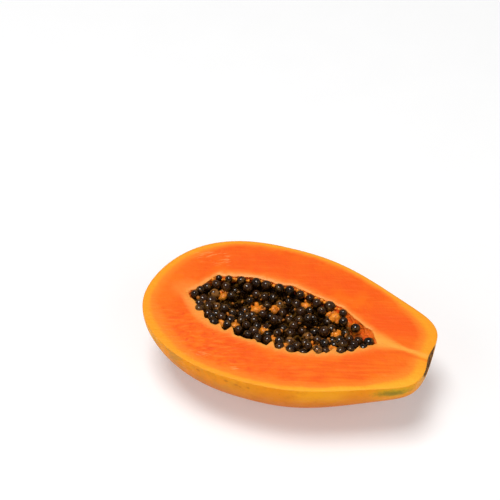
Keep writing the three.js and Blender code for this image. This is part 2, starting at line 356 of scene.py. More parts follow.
class Form(Nodes):
    """A Geometry Nodes tree with named inputs for its sizes."""

    def __init__(self, name):
        super().__init__(bpy.data.node_groups.new(name, "GeometryNodeTree"))
        self.name = name
        for way in ("INPUT", "OUTPUT"):
            self.tree.interface.new_socket("Geometry", in_out=way, socket_type="NodeSocketGeometry")
        self.numbers = {}
        self.places = self.add("GeometryNodeInputPosition")

    def sizes(self, piece, numbers):
        """Adds a named input for each size and gives what they hold."""
        names = {name: f"{piece} {name.replace('_', ' ')}" for name in vars(numbers)}
        for name, title in names.items():
            socket = self.tree.interface.new_socket(title, in_out="INPUT", socket_type="NodeSocketFloat")
            self.numbers[socket.identifier] = float(getattr(numbers, name))
        return SimpleNamespace(**{n: self.add("NodeGroupInput", output=t) for n, t in names.items()})

    def sheet(self, columns, rows, place):
        """A sheet of quads, each point put where place says."""
        sizes = {"Size X": 1.0, "Size Y": 1.0, "Vertices X": columns + 1, "Vertices Y": rows + 1}
        grid = self.add("GeometryNodeMeshGrid", None, sizes)
        return self.add("GeometryNodeSetPosition", None, {"Geometry": grid, "Position": place})

    def line(self, count, place):
        """A line of edges, each point put where place says."""
        sizes = {"Count": count + 1, "Start Location": (-0.5, 0, 0), "Offset": (1 / count, 0, 0)}
        row = self.add("GeometryNodeMeshLine", None, sizes)
        return self.add("GeometryNodeSetPosition", None, {"Geometry": row, "Position": place})

    def moved(self, geometry, offset):
        """The geometry with each point moved by the offset."""
        return self.add("GeometryNodeSetPosition", None, {"Geometry": geometry, "Offset": offset})

    def keep(self, geometry, name, value, domain="POINT"):
        """Stores a value on the geometry under a name."""
        settings = {"data_type": "FLOAT", "domain": domain}
        inputs = {"Geometry": geometry, "Name": name, "Value": value}
        return self.add("GeometryNodeStoreNamedAttribute", settings, inputs)

    def kept(self, name):
        """The value that is stored under a name."""
        return self.add("GeometryNodeInputNamedAttribute", {"data_type": "FLOAT"}, {"Name": name})

    def distance_from(self, line):
        """How far each point lies from the nearest edge of a line."""
        settings = {"target_element": "EDGES"}
        return self.add("GeometryNodeProximity", settings, {"Geometry": line}, "Distance")

    def finish(self, geometry, finishes):
        """Makes the form real and in metres, and gives each zone its material."""
        geometry = self.add("GeometryNodeTransform", None, {"Geometry": geometry, "Scale": (MM, MM, MM)})
        geometry = self.add("GeometryNodeSetShadeSmooth", None, {"Geometry": geometry})
        geometry = self.add("GeometryNodeRealizeInstances", None, {"Geometry": geometry})
        for zone, material in enumerate(finishes):
            inputs = {"Geometry": geometry, "Material": material}
            if len(finishes) > 1:
                inputs["Selection"] = self.maths("COMPARE", self.kept("zone"), zone, 0.1)
            geometry = self.add("GeometryNodeSetMaterial", None, inputs)
        end = self.tree.nodes.new("NodeGroupOutput")
        self.tree.links.new(geometry.socket, end.inputs["Geometry"])

    def grown(self, start):
        """Runs the tree on a start mesh and gives the result as a piece with a plain mesh."""
        carrier = bpy.data.objects.new(f"{self.name}_start", start)
        bpy.context.scene.collection.objects.link(carrier)
        modifier = carrier.modifiers.new("form", "NODES")
        modifier.node_group = self.tree
        for identifier, number in self.numbers.items():
            modifier[identifier] = number
        graph = bpy.context.evaluated_depsgraph_get()
        mesh = bpy.data.meshes.new_from_object(
            carrier.evaluated_get(graph), preserve_all_data_layers=True, depsgraph=graph
        )
        bpy.data.objects.remove(carrier)
        bpy.data.node_groups.remove(self.tree)
        mesh.name = self.name
        piece = bpy.data.objects.new(self.name, mesh)
        bpy.context.scene.collection.objects.link(piece)
        return piece


def share_of(distance, length):
    """A distance as a share of a length, from 0 to 1."""
    return smaller(1, larger(0, distance / length))


def smooth(share):
    """The share with a gentle start and end."""
    return share * share * (3 - 2 * share)


def fading(distance, width):
    """1 at no distance, fading away over about the width."""
    return math.e ** (0 - (distance / width) ** 2)


def fruit_half_width(fruit, x):
    """Half of the fruit's width: round at the blossom end, with a neck and a blunt end at the stem."""
    to_blossom = share_of(fruit.widest_x - x, fruit.to_blossom)
    to_stem = share_of(x - fruit.widest_x, fruit.to_stem)
    neck = 1 - (1 - fruit.neck_share) * smooth(to_stem**fruit.neck_start)
    round_end = (1 - to_blossom**fruit.blossom_fullness) ** 0.5
    blunt_end = (1 - to_stem**fruit.stem_bluntness) ** fruit.stem_rounding
    return fruit.half_width * neck * round_end * blunt_end


def fruit_middle(fruit, x):
    """The y of the fruit's middle line, which bows a little at both ends."""
    to_blossom = share_of(fruit.widest_x - x, fruit.to_blossom)
    to_stem = share_of(x - fruit.widest_x, fruit.to_stem)
    return fruit.blossom_bow * to_blossom**6 + fruit.stem_bow * to_stem**3


def cavity_half_width(cavity, x):
    """Half of the cavity's width, blunt at the blossom end and pointed at the stem end."""
    to_blossom = share_of(cavity.widest_x - x, cavity.to_blossom)
    to_stem = share_of(x - cavity.widest_x, cavity.to_stem)
    return cavity.half_width * (1 - to_blossom**4) * (1 - to_stem**1.5) ** 0.8


def cavity_middle(cavity, x):
    """The y of the cavity's middle line, which sways."""
    return cavity.shift + cavity.sway * sine(2 * math.pi * (x - cavity.sway_start) / cavity.sway_length)


def skin_point(fruit, x, angle):
    """A point of the skin. Angle 0 is the far rim, a half turn is the near rim."""
    radius = fruit_half_width(fruit, x) * (1 + fruit.ridge * sine(5 * angle))
    across = radius * cosine(angle)
    down = radius * sine(angle) * (fruit.depth / fruit.half_width) * (1 + fruit.depth_slope * x)
    towards_stem = share_of(x - fruit.widest_x, fruit.to_stem) ** 8
    off_centre = (across * across + down * down) / (fruit.scar_radius * fruit.scar_radius)
    scar = fruit.scar_depth * math.e ** (0 - off_centre)
    lengthwise = x + towards_stem * (fruit.stem_skew * across - scar)
    return lengthwise, fruit_middle(fruit, x) + across, larger(0, CUT_Z - down)


def cavity_point(cavity, x, angle):
    """A point of the cavity's wall. Its angle runs as the skin's does."""
    radius = cavity_half_width(cavity, x) * (1 + cavity.ridge * sine(5 * angle) * sine(angle))
    down = radius * sine(angle) * cavity.depth / cavity.half_width
    return x, cavity_middle(cavity, x) + radius * cosine(angle), CUT_Z - down


def bulge(bulges, x):
    """How far a rim is moved by its bulges."""
    return sum(reach * fading(x - at, half) for at, half, reach in bulges)


def far_shift(relief, x):
    """How the far rim strays from the cavity's rule: in over the seeds, and out at the bare wall."""
    lean = smooth(share_of(x - LEAN_START, LEAN_RISE)) * smooth(share_of(LEAN_END - x, LEAN_FALL))
    bay = smooth(share_of(x - BAY_START, BAY_RISE))
    return bulge(FAR_BULGES, x) + relief.far_bay * bay - relief.far_lean * lean


def near_reach(relief, x):
    """How far the flesh reaches in from the near rim, in lobes and at the cavity's tip."""
    return bulge(NEAR_LOBES, x) + relief.far_bay * smooth(share_of(x - TIP_START, TIP_RISE))


def along(sizes, share):
    """A place along a length that is divided most finely at its two ends."""
    start, end = sizes.widest_x - sizes.to_blossom, sizes.widest_x + sizes.to_stem
    return start + (end - start) * (1 - cosine(math.pi * share)) / 2


def fruit_body(finishes):
    """Skin, cut face and cavity wall as one closed piece, with a finish for each."""
    form = Form("papaya_body")
    fruit, cavity = form.sizes("fruit", FRUIT), form.sizes("cavity", CAVITY)
    relief = form.sizes("relief", RELIEF)
    place = form.places
    u, v = [part + 0.5 for part in form.parts(place)[:2]]

    # Once round the rim: out along the far side and back along the near side
    out_and_back = 1 - form.maths("ABSOLUTE", 2 * u - 1)
    far_or_near = math.pi * form.maths("GREATER_THAN", u, 0.5)
    outer = form.point(*skin_point(fruit, along(fruit, out_and_back), far_or_near))
    inner = form.point(*cavity_point(cavity, along(cavity, out_and_back), far_or_near))
    across = form.add("ShaderNodeMix", {"data_type": "VECTOR"}, {0: smooth(v), 4: outer, 5: inner}, 1)

    skin_place = form.point(*skin_point(fruit, along(fruit, u), math.pi * v))
    wall_place = form.point(*cavity_point(cavity, along(cavity, u), math.pi * v))
    skin = form.sheet(STATIONS, SKIN_STEPS, skin_place)
    face = form.sheet(2 * STATIONS, FACE_STEPS, across)
    wall = form.sheet(STATIONS, WALL_STEPS, wall_place)
    sheets = [form.keep(s, "zone", float(zone), "FACE") for zone, s in enumerate((skin, face, wall))]
    body = form.add("GeometryNodeJoinGeometry", None, {"Geometry": sheets})
    body = form.add("GeometryNodeMergeByDistance", None, {"Geometry": body, "Distance": SAME_PLACE})
    body = form.keep(body, "from_skin", form.distance_from(form.line(2 * STATIONS, outer)))
    body = form.keep(body, "from_cavity", form.distance_from(form.line(2 * STATIONS, inner)))
    from_skin, from_cavity = form.kept("from_skin"), form.kept("from_cavity")

    # The faint waves that the knife left on the cut face
    x, y, height = form.parts(place)
    on_top = form.step(height, CUT_Z - 0.05, CUT_Z - 0.01)
    inside = on_top * form.step(from_skin, 0.5, 4.0) * form.step(from_cavity, 1.0, 5.0)
    waves = inside * relief.waves * (form.grain(place, 9, 3) - NOISE_TOP)
    body = form.moved(body, form.point(0, 0, waves))

    # Rounded lips, lobes that reach in between the near seeds, and a rim torn by the knife
    lower = relief.lip * fading(from_cavity, relief.lip_width)
    lower = lower + relief.skin_lip * fading(from_skin, relief.skin_lip_width)
    side = y - cavity_middle(cavity, x)
    lobes = form.step(side, 0, -6) * near_reach(relief, x) * fading(from_cavity, relief.lobe_width)
    shift = form.step(side, 0, 6) * far_shift(relief, x) * fading(from_cavity, relief.far_width)
    torn = relief.ragged * fading(from_cavity, relief.ragged_width)
    ragged = form.vector("SUBTRACT", form.grain(place, 4.5, 2, output=1), (0.5, 0.5, 0.5))
    ragged = form.vector("MULTIPLY", ragged, form.point(torn, torn, 0))
    body = form.moved(body, form.vector("ADD", ragged, form.point(0, lobes + shift, 0 - lower)))

    # Nothing passes the box of the solid
    low, high = [tuple(corner / MM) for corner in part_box("fruit_half")]
    held = form.vector("MINIMUM", form.vector("MAXIMUM", place, low), high)
    body = form.add("GeometryNodeSetPosition", None, {"Geometry": body, "Position": held})
    form.finish(body, finishes)
    piece = form.grown(bpy.data.meshes.new("nothing"))
    close(piece.data)
    return piece


def close(mesh):
    """Turns the faces outwards and keeps the edges between two finishes crisp."""
    work = bmesh.new()
    work.from_mesh(mesh)
    bmesh.ops.remove_doubles(work, verts=work.verts, dist=SAME_PLACE_LAST * MM)
    bmesh.ops.recalc_face_normals(work, faces=work.faces)
    for edge in work.edges:
        edge.smooth = len({face.material_index for face in edge.link_faces}) == 1
    work.to_mesh(mesh)
    work.free()


def random_numbers(state):
    """A repeatable row of random numbers from 0 to 1, by linear congruence."""
    while True:
        state = (state * 1664525 + 1013904223) % 2**32
        yield state / 2**32


def seed_depth(x, side):
    """Depth of the seeds' middles under the cut face. Side runs from -1, near wall, to 1, far wall."""
    width = cavity_half_width(CAVITY, x) / CAVITY.half_width
    rim = NEAR_DROP + (FAR_DROP - NEAR_DROP) * (side + 1) / 2
    return width * (rim + MIDDLE_SAG * (1 - side * side)) + (1 - width) * NEAR_DROP


def side_of(x, y):
    """Where a place lies between the near wall, -1, and the far wall, 1."""
    return (y - cavity_middle(CAVITY, x)) / max(LEAST_WIDTH, cavity_half_width(CAVITY, x))


def keep_inside(seed):
    """Keeps a seed inside the cavity, and off the bare wall near the stem."""
    start, end = CAVITY.widest_x - CAVITY.to_blossom, CAVITY.widest_x + CAVITY.to_stem
    seed[0] = min(max(seed[0], start + SEED_INSET), end - SEED_INSET)
    room = max(0, cavity_half_width(CAVITY, seed[0]) - SEED_INSET)
    reach = min(1, 1 - (seed[0] - BARE_START) * BARE_RATE)
    middle, lean = cavity_middle(CAVITY, seed[0]), min(0, far_shift(RELIEF, seed[0]))
    seed[1] = min(max(seed[1], middle - room), middle + room * reach + lean)


def push(seed, x, y, gap):
    """Moves a seed half of the way out of the space that another one needs."""
    distance = math.hypot(seed[0] - x, seed[1] - y)
    if 0 < distance < gap:
        move = (gap - distance) / (2 * distance)
        seed[0] += (seed[0] - x) * move
        seed[1] += (seed[1] - y) * move


def top_seeds():
    """Where the top seeds lie: strewn over the cavity, then settled until they lie side by side."""
    draw = random_numbers(SEED_DRAW)
    start, length = CAVITY.widest_x - CAVITY.to_blossom, CAVITY.to_blossom + CAVITY.to_stem
    near_lobes = [(x, cavity_middle(CAVITY, x) - cavity_half_width(CAVITY, x), r) for x, _, r in NEAR_LOBES]
    seeds = []
    while len(seeds) < SEED_COUNT:
        x, y = start + length * next(draw), CAVITY.half_width * (2 * next(draw) - 1)
        lift, turn = SEED_LIFT * (2 * next(draw) - 1), 2 * math.pi * next(draw)
        if abs(y - cavity_middle(CAVITY, x)) < cavity_half_width(CAVITY, x):
            seeds.append([x, y, lift, turn])
    for _ in range(SETTLE_ROUNDS):
        for seed in seeds:
            for other in seeds:
                push(seed, other[0], other[1], SEED_GAP)
            for x, y, size in BIG_SEEDS:
                push(seed, x, y, SEED_GAP * (0.5 + 0.5 * size))
            for x, y, radius in PULP_LOBES + near_lobes:
                push(seed, x, y, radius + SEED.radius * LOBE_ROOM)
            keep_inside(seed)
    return [s for s in seeds if clear_of(s[0], s[1], [(x, y, BIG_SEED_ROOM) for x, y, _ in BIG_SEEDS])]


def in_trench(x, y):
    """How far a place lies in the trench between the seeds, from 0, outside, to 1, in its middle."""
    apart = min(math.hypot((x - tx) / TRENCH_STRETCH, y - ty) for tx, ty in TRENCH)
    return smooth(share_of(TRENCH_REACH - apart, TRENCH_EDGE))


def clear_of(x, y, circles):
    """Whether a place lies outside all the circles."""
    return all(math.hypot(x - cx, y - cy) > radius for cx, cy, radius in circles)


def lies_free(x, y, share, end):
    """Whether a hidden seed fits: within a share of the cavity's width, off the pulp and the bare end."""
    return abs(side_of(x, y)) < share and clear_of(x, y, PULP_LOBES) and x < end


def under_top(z, size):
    """A seed's height, kept under the top of the solid's seeds."""
    return min(z, SEEDS_TOP - SEED_TIP * SEED.radius * size)


def settled_seeds(draw, places):
    """The top seeds, a few of them sunk, and those in the trench the lowest, with painted shade that makes them
    the darkest.
    """
    for x, y, lift, turn in places:
        side, hollow = side_of(x, y), in_trench(x, y)
        at_far_wall = max(0, side) ** 3
        size = 1 + 0.22 * next(draw)
        sunk = SUNK_DROP if next(draw) < SUNK_SHARE and x < BARE_START else 0
        z = CUT_Z - seed_depth(x, side) + FAR_WALL_RISE * at_far_wall + 1.3 * lift - sunk - TRENCH_DROP * hollow
        # Painted shade: seeds in the trench get the lowest tone, which paints them darkest and dullest
        tone_and_shade = SHOWN_TONE + (1 - SHOWN_TONE) * next(draw) * (1 - hollow)
        yield x, y, under_top(z, size), size, turn, tone_and_shade


def big_seeds(draw):
    """The big seeds at their own places, just under the cut face."""
    for x, y, size in BIG_SEEDS:
        z = under_top(CUT_Z - 1.7 - 1.2 * next(draw) ** 2, size)
        yield x, y - 0.3 * next(draw), z, size, 6 * next(draw), SHOWN_TONE + 0.65 * next(draw)


def lower_layers(draw, places):
    """Two layers of dull seeds, each seed beside and under one of the top seeds, with low tones that paint
    shade on them.
    """
    for layer in (1, 2):
        for x, y, lift, turn in places:
            angle, reach = 2 * math.pi * next(draw), 3.1 + 0.7 * next(draw)
            x, y = x + reach * math.cos(angle), y + reach * math.sin(angle)
            size = 0.74 + 0.3 * next(draw)
            if lies_free(x, y, LAYER_SHARE, BARE_START + 6):
                z = CUT_Z - seed_depth(x, side_of(x, y)) - LAYER_DROP * layer - 0.8 * lift
                yield x, y, z - HIDDEN_TRENCH_DROP * in_trench(x, y), size, turn, 0.12 * next(draw)


def filling_seeds(draw):
    """Dull seeds in loose rows, which fill the gaps that are left, with low tones that paint shade on them."""
    for row in range(FILLING.rows):
        for column in range(FILLING.columns):
            x = FILLING.first_x + FILLING.gap_x * column + FILLING.stray * next(draw)
            y = FILLING.first_y + FILLING.gap_y * row + FILLING.stray * next(draw)
            tone_and_shade, turn = 0.08 * next(draw), 6 * next(draw)
            if lies_free(x, y, FILLING_SHARE, BARE_START):
                z = CUT_Z - seed_depth(x, side_of(x, y)) - FILLING.drop
                z = z - HIDDEN_TRENCH_DROP * in_trench(x, y)
                yield x, y, z, 1.0, turn, tone_and_shade


def heap_seeds(places):
    """All the seeds of the heap: place, size, turn and tone. The tone differs at random and also paints shade
    on the deep seeds.
    """
    draw = random_numbers(HEAP_DRAW)
    return [
        *settled_seeds(draw, places),
        *big_seeds(draw),
        *lower_layers(draw, places),
        *filling_seeds(draw),
    ]


def lobe_shreds(draw):
    """Pulp that stands up between the seeds, as one mound with scraps round it."""
    for x, y, radius in PULP_LOBES:
        top = CUT_Z - seed_depth(x, side_of(x, y)) + LOBE_RISE
        yield x, y, top - 1.1 * radius, 1.08 * radius, 6 * next(draw), 0.8 + 0.2 * next(draw)
        for _ in range(LOBE_SCRAPS):
            angle, size = 2 * math.pi * next(draw), radius * (0.25 + 0.3 * next(draw))
            spot = (x + 1.1 * radius * math.cos(angle), y + 0.9 * radius * math.sin(angle))
            yield *spot, top - size - 0.9 - 0.6 * next(draw), size, 6 * next(draw), 0.3 + 0.7 * next(draw)


def bare_wall_shreds(draw):
    """Torn edges of sockets on the bare part of the far wall."""
    for _ in range(BARE_WALL_SHREDS):
        x = BARE_START - 2 + 18 * next(draw)
        drop = 4 + 4 * next(draw)
        width = cavity_half_width(CAVITY, x)
        lean = math.sqrt(max(0, 1 - (drop * CAVITY.half_width / (width * CAVITY.depth)) ** 2))
        y = cavity_middle(CAVITY, x) + width * lean + far_shift(RELIEF, x) * (1 - drop / 9) - 0.2
        if lean > 0:
            yield x, y, CUT_Z - drop, 1.3 + 1.1 * next(draw), 6 * next(draw), 0.6 + 0.4 * next(draw)


def far_rim_shreds(draw):
    """Fluffy shreds that line the wall just under the far rim, behind the seeds."""
    for number in range(FAR_RIM_SHREDS):
        x = -60 + 2 * number + 1.5 * next(draw)
        y = cavity_middle(CAVITY, x) + cavity_half_width(CAVITY, x) + far_shift(RELIEF, x)
        y, z = y - 0.8 - 0.6 * next(draw), CUT_Z - 1.5 - 1.4 * next(draw)
        yield x, y, z, 0.9 + 0.7 * next(draw), 6 * next(draw), 0.4 + 0.6 * next(draw)


def loose_shreds(draw, places):
    """Brownish scraps of the seeds' skins, beside the top seeds."""
    for x, y, _, turn in places:
        angle = 2 * math.pi * next(draw)
        x, y = x + 3.3 * math.cos(angle), y + 3.3 * math.sin(angle)
        if abs(side_of(x, y)) < SHRED_SHARE:
            z = CUT_Z - seed_depth(x, side_of(x, y)) + 0.2 + 1.2 * next(draw)
            yield x, y, z, 0.9 + 0.9 * next(draw) ** 2, turn, 0.05 + 0.25 * next(draw)


def grains(name, sizes, lump_size, rows, levels, finish):
    """Egg-shaped grains at the given places, each turned its own way and a little lumpy."""
    start = bpy.data.meshes.new(f"{name}_places")
    start.from_pydata([row[:3] for row in rows], [], [])
    for column, key in enumerate(("size", "turn", "tone"), 3):
        layer = start.attributes.new(key, "FLOAT", "POINT")
        layer.data.foreach_set("value", [row[column] for row in rows])
    form = Form(name)
    grain = form.sizes("grain", sizes)
    ball = form.add("GeometryNodeMeshIcoSphere", None, {"Radius": grain.radius, "Subdivisions": levels})
    x, y, z = form.parts(form.places)
    slim = 1 - grain.taper * x / grain.radius
    egg = form.point(x * grain.stretch, y * slim, z * slim * grain.flat)
    ball = form.add("GeometryNodeSetPosition", None, {"Geometry": ball, "Position": egg})
    turn, size = form.kept("turn"), form.kept("size")
    facing = form.add("FunctionNodeEulerToRotation", None, {0: form.point(1.7 * turn, turn / 3, turn)})
    inputs = {
        "Points": form.add("NodeGroupInput", output="Geometry"),
        "Instance": ball,
        "Rotation": facing,
        "Scale": form.point(size, size, size),
    }
    heap = form.add("GeometryNodeInstanceOnPoints", None, inputs)
    heap = form.add("GeometryNodeRealizeInstances", None, {"Geometry": heap})
    height = 2.4 * grain.lump * (form.grain(form.places, lump_size, 1) - 0.5)
    normal = form.add("GeometryNodeInputNormal")
    heap = form.moved(heap, form.vector("SCALE", normal, Scale=height))
    form.finish(heap, [finish])
    return form.grown(start)


def seed_bed(finish):
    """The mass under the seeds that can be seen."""
    form = Form("seed_bed")
    cavity, bed = form.sizes("cavity", CAVITY), form.sizes("bed", BED)
    u, v = [part + 0.5 for part in form.parts(form.places)[:2]]
    x, side = along(cavity, u), cosine(math.pi * v)
    width = bed.width * cavity_half_width(cavity, x)
    y = cavity_middle(cavity, x) + width * side
    top = CUT_Z - seed_depth(x, side) - bed.drop
    rise = sine(math.pi * v) * width / CAVITY.half_width
    under = smaller(top - bed.sag * rise, CUT_Z + 0.5 - bed.bottom * width * sine(math.pi * v))
    lumps = rise * bed.lump * (form.grain(form.point(x, y, 0), BED_LUMP_SIZE, 1) - 0.5)
    over = form.sheet(BED_STATIONS, BED_STEPS, form.point(x, y, top + lumps))
    below = form.sheet(BED_STATIONS, BED_STEPS, form.point(x, y, under))
    body = form.add("GeometryNodeJoinGeometry", None, {"Geometry": [over, below]})
    body = form.add("GeometryNodeMergeByDistance", None, {"Geometry": body, "Distance": SAME_PLACE})
    form.finish(body, [finish])
    piece = form.grown(bpy.data.meshes.new("nothing"))
    close(piece.data)
    return piece


def tone(red, green, blue):
    """A linear colour from the 0 to 255 values of a screen."""
    parts = [v / 255 for v in (red, green, blue)]
    return (*[v / 12.92 if v <= 0.04045 else ((v + 0.055) / 1.055) ** 2.4 for v in parts], 1)


class Finish(Nodes):
    """The node tree of one material, with places in millimetres."""

    def __init__(self, name):
        self.material = bpy.data.materials.new(name)
        self.material.use_nodes = True
        super().__init__(self.material.node_tree)
        self.tree.nodes.clear()
        spot = self.add("ShaderNodeTexCoord", output="Object")
        self.place = self.vector("SCALE", spot, Scale=1 / MM)
        self.x, self.y, self.z = self.parts(self.place)
        self.colour = None

    def kept(self, name):
        """The value that the piece's mesh holds under a name."""
        return self.add("ShaderNodeAttribute", {"attribute_name": name}, output="Fac")

    def blend(self, share, first, second):
        """The first colour where the share is 0, and the second where it is 1."""
        settings = {"data_type": "RGBA", "clamp_factor": True}
        return self.add("ShaderNodeMix", settings, {0: share, 6: first, 7: second}, 2)

    def paint(self, share, *shade):
        """Lays a colour, as a screen shows it, over what is painted so far, as strongly as the share says."""
        self.colour = self.blend(share, self.colour, tone(*shade))

    def drawn_out(self, lengths, turn):
        """Places squeezed along each axis, so that a pattern on them is drawn out by these lengths."""
        inputs = {"Vector": self.place, "Rotation": (0, 0, math.radians(turn)), "Scale": lengths}
        return self.add("ShaderNodeMapping", {"vector_type": "TEXTURE"}, inputs)

    def apart(self, spot, reach, ragged):
        """Distance from a spot, as a share of its reach along each axis."""
        offset = self.vector("SUBTRACT", self.place, spot)
        share = self.vector("LENGTH", self.vector("DIVIDE", offset, reach))
        return share + ragged * (self.grain(self.place, min(reach) * 0.8, 3, 0.6) - 0.5)

    def near(self, spot, reach, edge, ragged):
        """1 in an ellipsoid round a spot, fading over the edge's share of its reach."""
        return self.step(self.apart(spot, reach, ragged), 1 + edge, 1 - edge)

    def bump(self, height, depth, normal=None):
        """Fine relief of a depth in millimetres, on top of another relief if one is given."""
        inputs = {"Height": height, "Distance": depth * MM}
        if normal:
            inputs["Normal"] = normal
        return self.add("ShaderNodeBump", None, inputs)

    def surface(self, **sockets):
        """Joins the colour and the other sockets' values in one shader and gives the material."""
        inputs = {name.replace("_", " "): value for name, value in sockets.items()}
        shader = self.add("ShaderNodeBsdfPrincipled", None, {"Base Color": self.colour, **inputs})
        end = self.tree.nodes.new("ShaderNodeOutputMaterial")
        self.tree.links.new(shader.socket, end.inputs["Surface"])
        return self.material


def ripe_skin():
    """Waxy yellow-orange skin with pores, brown specks, a green patch and the stem scar."""
    f = Finish("ripe_skin")
    broad, middling = f.grain(f.place, 34, 3, 0.55), f.grain(f.place, 9, 4, 0.6)
    f.colour = f.blend(f.step(broad, 0.36, 0.66), tone(255, 166, 18), tone(246, 146, 6))
    f.paint(0.5 * f.step(middling, 0.5, 0.76), 224, 130, 8)
    olive = f.step(f.grain(f.place, 15, 4, 0.65), 0.44, 0.64) * f.step(f.x, 10, -60)
    f.paint(0.48 * olive, 180, 142, 58)
    # Painted shade: the skin is darker and browner towards the bottom, where less light falls
    f.paint(0.85 * f.step(f.z, 58, 32), 196, 98, 0)

    # Pores, scabs, specks and the green patch
    cells = {"Vector": f.place, "Scale": 1 / PORE_GAP}
    pores = f.add("ShaderNodeTexVoronoi", None, cells)
    chosen = f.parts(f.add("ShaderNodeTexVoronoi", None, cells, 1))[0]
    pore = f.step(pores, 0.17, 0.09) * f.step(chosen, 0.72, 0.8)
    f.paint(0.35 * pore, 178, 98, 20)
    scab = f.step(f.grain(f.place, 2.4, 4, 0.7), 0.66, 0.73) * f.step(f.grain(f.place, 26, 2), 0.56, 0.66)
    scab = scab * f.step(f.z, 50, 42)
    f.paint(0.6 * scab, 134, 76, 26)
    for x, y, z, radius in SPECKS:
        speck = f.near((x, y, z), (1.5 * radius, radius, 1.2 * radius), 0.7, 0.5)
        f.paint(0.4 * speck, 172, 60, 0)
    tinged = f.near(GREEN_PATCH, GREEN_REACH, 0.9, 1.2)
    f.paint(0.7 * tinged, 204, 174, 22)
    green = f.near(GREEN_CORE, GREEN_CORE_REACH, 0.8, 1.8)
    f.paint(0.75 * green, 128, 112, 20)

    # The corky scar of the stem, with a darker edge and a paler ring of skin
    from_scar = f.apart(STEM_SCAR, SCAR_REACH, 0.4)
    scar, scar_edge = f.step(from_scar, 1.12, 1), f.step(from_scar, 0.55, 0.95)
    bark = f.blend(f.step(f.grain(f.place, 3.4, 4, 0.7), 0.42, 0.6), tone(98, 58, 22), tone(176, 124, 58))
    bark = f.blend(0.75 * scar_edge * f.step(middling, 0.4, 0.56), bark, tone(56, 32, 14))
    f.paint(0.5 * f.step(from_scar, 1.7, 1.1), 206, 158, 62)
    f.colour = f.blend(scar, f.colour, bark)

    rough = 0.4 + 0.16 * middling + 0.3 * scar + 0.15 * scab
    normal = f.bump(f.grain(f.place, 14, 3), 0.9)
    normal = f.bump(f.grain(f.place, 1.3, 3, 0.6) - 0.5 * pore - scab, 0.09, normal)
    normal = f.bump(scar * f.grain(f.place, 2, 4, 0.7), 1.2, normal)
    return f.surface(
        Roughness=rough,
        Normal=normal,
        Specular_IOR_Level=0.06,
        Subsurface_Weight=0.05,
        Subsurface_Radius=(1, 0.35, 0.1),
        Subsurface_Scale=0.002,
    )


def flesh_shades(f, cloud):
    """The broad shades of the flesh, redder in places and yellower towards its two ends."""
    f.colour = f.blend(f.step(cloud, 0.34, 0.64), tone(255, 112, 8), tone(250, 94, 4))
    f.paint(0.5 * f.step(f.x, 40, 96), 254, 126, 22)
    for spot, reach, strength, shade in REDDER:
        f.paint(strength * f.near(spot, reach, 0.6, 0.5), *shade)
    f.paint(0.55 * f.step(f.x, -62, -96), 255, 134, 24)


def knife_strokes(f, cuts, marked, strands, near_side):
    """Short strokes near the blossom end, long streaks near the stem, and faint strands all over."""
    f.paint(0.5 * marked * f.step(cuts, 0.5, 0.68), 243, 74, 12)
    f.paint(0.45 * marked * f.step(cuts, 0.5, 0.32), 255, 136, 44)
    blush = f.step(f.grain(f.place, 5, 2), 0.62, 0.7) * marked
    f.paint(0.5 * blush, 244, 62, 14)
    f.paint(0.2 * f.step(strands, 0.48, 0.68), 255, 134, 40)
    streaked = near_side * f.step(f.x, -10, 20)
    streaks = f.grain(f.drawn_out((24, 1.7, 4), 15), 1, 3, 0.5)
    f.paint(0.5 * streaked * f.step(streaks, 0.48, 0.64), 246, 92, 10)
    f.paint(0.4 * streaked * f.step(streaks, 0.5, 0.36), 254, 126, 28)


def yellow_band(f, from_skin, cloud, near_side):
    """The yellow band under the skin, widest at the two ends."""
    at_blossom, at_stem = f.step(f.x, -35, -96), f.step(f.x, 58, 96)
    wide = 2.3 + 2.9 * at_blossom + 5.2 * at_stem + (0.8 + 0.4 * f.step(f.x, 20, -40)) * near_side
    edge = (from_skin + 3.4 * (cloud - 0.5)) / wide
    f.paint(f.step(edge, 2.3 + 0.9 * near_side, 0.9), 254, 136, 32)
    f.paint(f.step(edge, 1.25, 0.55), 252, 160, 30)
    yellow = near_side * f.step(f.x, -30, 50) * f.step(edge, 1.3, 0.3)
    f.paint(0.7 * yellow, 255, 182, 44)
    f.paint(0.6 * f.step(from_skin, 0.8, 0.2), 240, 150, 26)


def pale_border(f, from_cavity):
    """The pale halo round the cavity, palest at its rim and at the blossom end's tip."""
    far_side = f.step(f.y, -6, 8)
    halo = from_cavity + 3 * (f.grain(f.place, 6, 3, 0.6) - 0.5)
    f.paint((0.5 + 0.2 * far_side) * f.step(halo, 6.5, 1.5), 253, 138, 46)
    f.paint(0.75 * f.step(halo, 2.0, 0.5), 254, 158, 66)
    near_rim = f.step(f.y - cavity_middle(CAVITY, f.x), 0, -6)
    pale = near_rim * f.step(from_cavity, 3.4 + 3.6 * f.step(f.x, -34, -56), 0.8)
    f.paint(0.7 * pale, 255, 166, 72)
    pale_rim = far_side * f.step(f.x, 10, -20) * f.step(halo, 3.4, 1.2)
    f.paint(0.6 * pale_rim, 255, 164, 82)
    f.paint(0.5 * f.near(CAVITY_TIP, TIP_REACH, 0.6, 0.6), 255, 146, 54)


def pale_strand(f, strands):
    """The pale strand from the cavity to the stem, with a darker line on its near side."""
    middle_line = f.y + 0.4 + 0.1 * (f.x - 62) + 2 * (f.grain(f.place, 18, 2) - 0.5)
    reach = 2.4 + 6 * f.step(f.x, 82, 60)
    aside = f.maths("ABSOLUTE", middle_line) + 2.2 * (strands - 0.5)
    strand = f.step(f.x, 54, 64) * f.step(aside, 1.15 * reach, 0.1 * reach)
    f.paint(0.85 * strand, 254, 174, 66)
    beside = f.step(f.maths("ABSOLUTE", middle_line + 1.2 + reach), 1.6, 0.3) * f.step(f.x, 60, 70)
    f.paint(0.4 * beside, 246, 98, 16)


